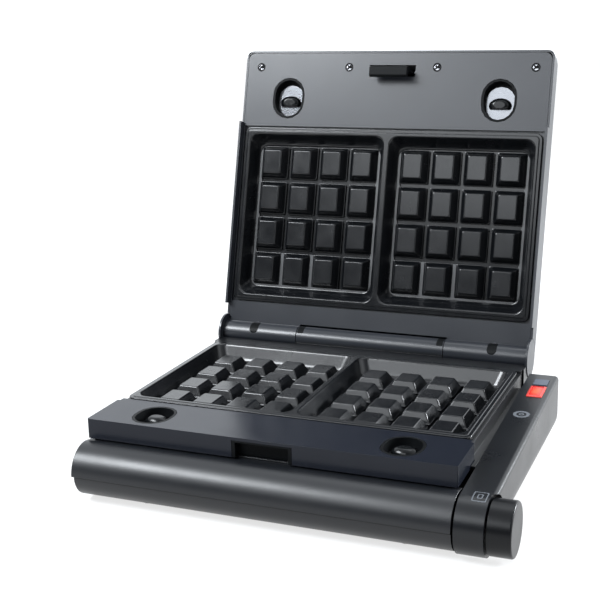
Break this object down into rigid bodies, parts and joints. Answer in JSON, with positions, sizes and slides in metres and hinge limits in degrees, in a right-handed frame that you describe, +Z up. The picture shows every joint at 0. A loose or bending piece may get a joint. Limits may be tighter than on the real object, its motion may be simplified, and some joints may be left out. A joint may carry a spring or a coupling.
{
  "type": "multi snack maker",
  "caption": "Open electric waffle iron with a hinged lid, removable waffle plates held by sliding catches, a latch hook, a side control housing with lamps and a round knob on its front tube.",
  "frame": {"origin": "middle of the bounding box, on the surface that the feet stand on", "axes": "+X towards the knob's side, +Y towards the hinge, +Z up"},
  "size_m": [0.3434, 0.3802, 0.3295],
  "materials": {
    "anthracite": "satin anthracite housing plastic",
    "tube_satin": "satin dark metallic lacquer on the front tube",
    "lid_grey": "satin grey metallic plastic of the lid",
    "rail_grey": "satin grey plastic of the control housing",
    "non_stick": "black glossy non-stick coating on cast aluminium",
    "black_plastic": "black satin plastic",
    "steel": "bright zinc-plated steel",
    "dark_steel": "dark oxidised steel",
    "reflector_metal": "plain sheet metal",
    "red_lens": "clear red lens, lit",
    "grey_lens": "smoky grey lens, unlit",
    "rubber": "black rubber"
  },
  "bodies": {
    "base": {"base_pan": "anthracite", "base_housing": "anthracite", "ledge": "anthracite", "latch_keeper": "black_plastic", "lower_catch_cup_left": "black_plastic", "lower_catch_cup_right": "black_plastic", "tube_cover": "tube_satin", "control_housing": "rail_grey", "control_hatch": "anthracite", "red_lamp_lens": "red_lens", "grey_lamp_lens": "grey_lens", "lamp_holder": "black_plastic", "thermostat": "black_plastic", "cord_gland": "rubber", "terminal_block": "black_plastic", "foot_front_left": "rubber", "foot_front_right": "rubber", "foot_rear_left": "rubber", "foot_rear_right": "rubber", "pan_screw_1": "dark_steel", "pan_screw_2": "dark_steel", "pan_screw_3": "dark_steel", "pan_screw_4": "dark_steel", "lower_heater": "dark_steel", "lower_reflector": "reflector_metal", "lower_catch_spring_left": "steel", "lower_catch_spring_right": "steel", "hinge_pin_left": "steel", "hinge_pin_right": "steel"},
    "knob_assembly": {"knob": "black_plastic", "knob_shaft": "steel"},
    "lower_plate": {"lower_plate": "non_stick"},
    "lower_catch_left": {"lower_catch_left": "steel", "lower_catch_thumb_left": "black_plastic"},
    "lower_catch_right": {"lower_catch_right": "steel", "lower_catch_thumb_right": "black_plastic"},
    "lid": {"lid_cover": "lid_grey", "lid_frame": "lid_grey", "hinge_cheek_left": "lid_grey", "hinge_cheek_right": "lid_grey", "upper_catch_cup_left": "black_plastic", "upper_catch_cup_right": "black_plastic", "upper_heater": "dark_steel", "upper_reflector": "reflector_metal", "upper_catch_spring_left": "steel", "upper_catch_spring_right": "steel", "latch_pin": "steel", "latch_spring": "steel", "hinge_screw_left": "dark_steel", "hinge_screw_right": "dark_steel", "lip_screw_1": "steel", "lip_screw_2": "steel", "lip_screw_3": "steel", "lip_screw_4": "steel"},
    "upper_plate": {"upper_plate": "non_stick"},
    "upper_catch_left": {"upper_catch_left": "steel", "upper_catch_thumb_left": "black_plastic"},
    "upper_catch_right": {"upper_catch_right": "steel", "upper_catch_thumb_right": "black_plastic"},
    "latch": {"latch_hook": "black_plastic"}
  },
  "joints": [
    {"name": "lid_hinge", "type": "hinge", "parent": "base", "child": "lid", "pos_m": [-0.0217, 0.09083, 0.0652], "axis": [-1, 0, 0], "range_deg": [-105.6, 0]},
    {"name": "knob_turn", "type": "hinge", "parent": "base", "child": "knob_assembly", "pos_m": [0.1633, -0.16807, 0.024], "axis": [-1, 0, 0], "range_deg": [0, 270]},
    {"name": "lower_plate_lift", "type": "slide", "parent": "base", "child": "lower_plate", "axis": [0, 0, 1], "range_m": [0, 0.03]},
    {"name": "upper_plate_lift", "type": "slide", "parent": "lid", "child": "upper_plate", "axis": [0, -0.9632, 0.2689], "range_m": [0, 0.03]},
    {"name": "lower_catch_left_slide", "type": "slide", "parent": "base", "child": "lower_catch_left", "axis": [0, -1, 0], "range_m": [0, 0.0035], "stiffness_N_per_m": 200, "springref_m": -0.004},
    {"name": "lower_catch_right_slide", "type": "slide", "parent": "base", "child": "lower_catch_right", "axis": [0, -1, 0], "range_m": [0, 0.0035], "stiffness_N_per_m": 200, "springref_m": -0.004},
    {"name": "upper_catch_left_slide", "type": "slide", "parent": "lid", "child": "upper_catch_left", "axis": [0, 0.2689, 0.9632], "range_m": [0, 0.0035], "stiffness_N_per_m": 200, "springref_m": -0.004},
    {"name": "upper_catch_right_slide", "type": "slide", "parent": "lid", "child": "upper_catch_right", "axis": [0, 0.2689, 0.9632], "range_m": [0, 0.0035], "stiffness_N_per_m": 200, "springref_m": -0.004},
    {"name": "latch_swing", "type": "hinge", "parent": "lid", "child": "latch", "pos_m": [-0.0217, 0.17045, 0.30835], "axis": [-1, 0, 0], "range_deg": [0, 12], "stiffness_Nm_per_rad": 0.05, "springref_deg": -11.46}
  ]
}
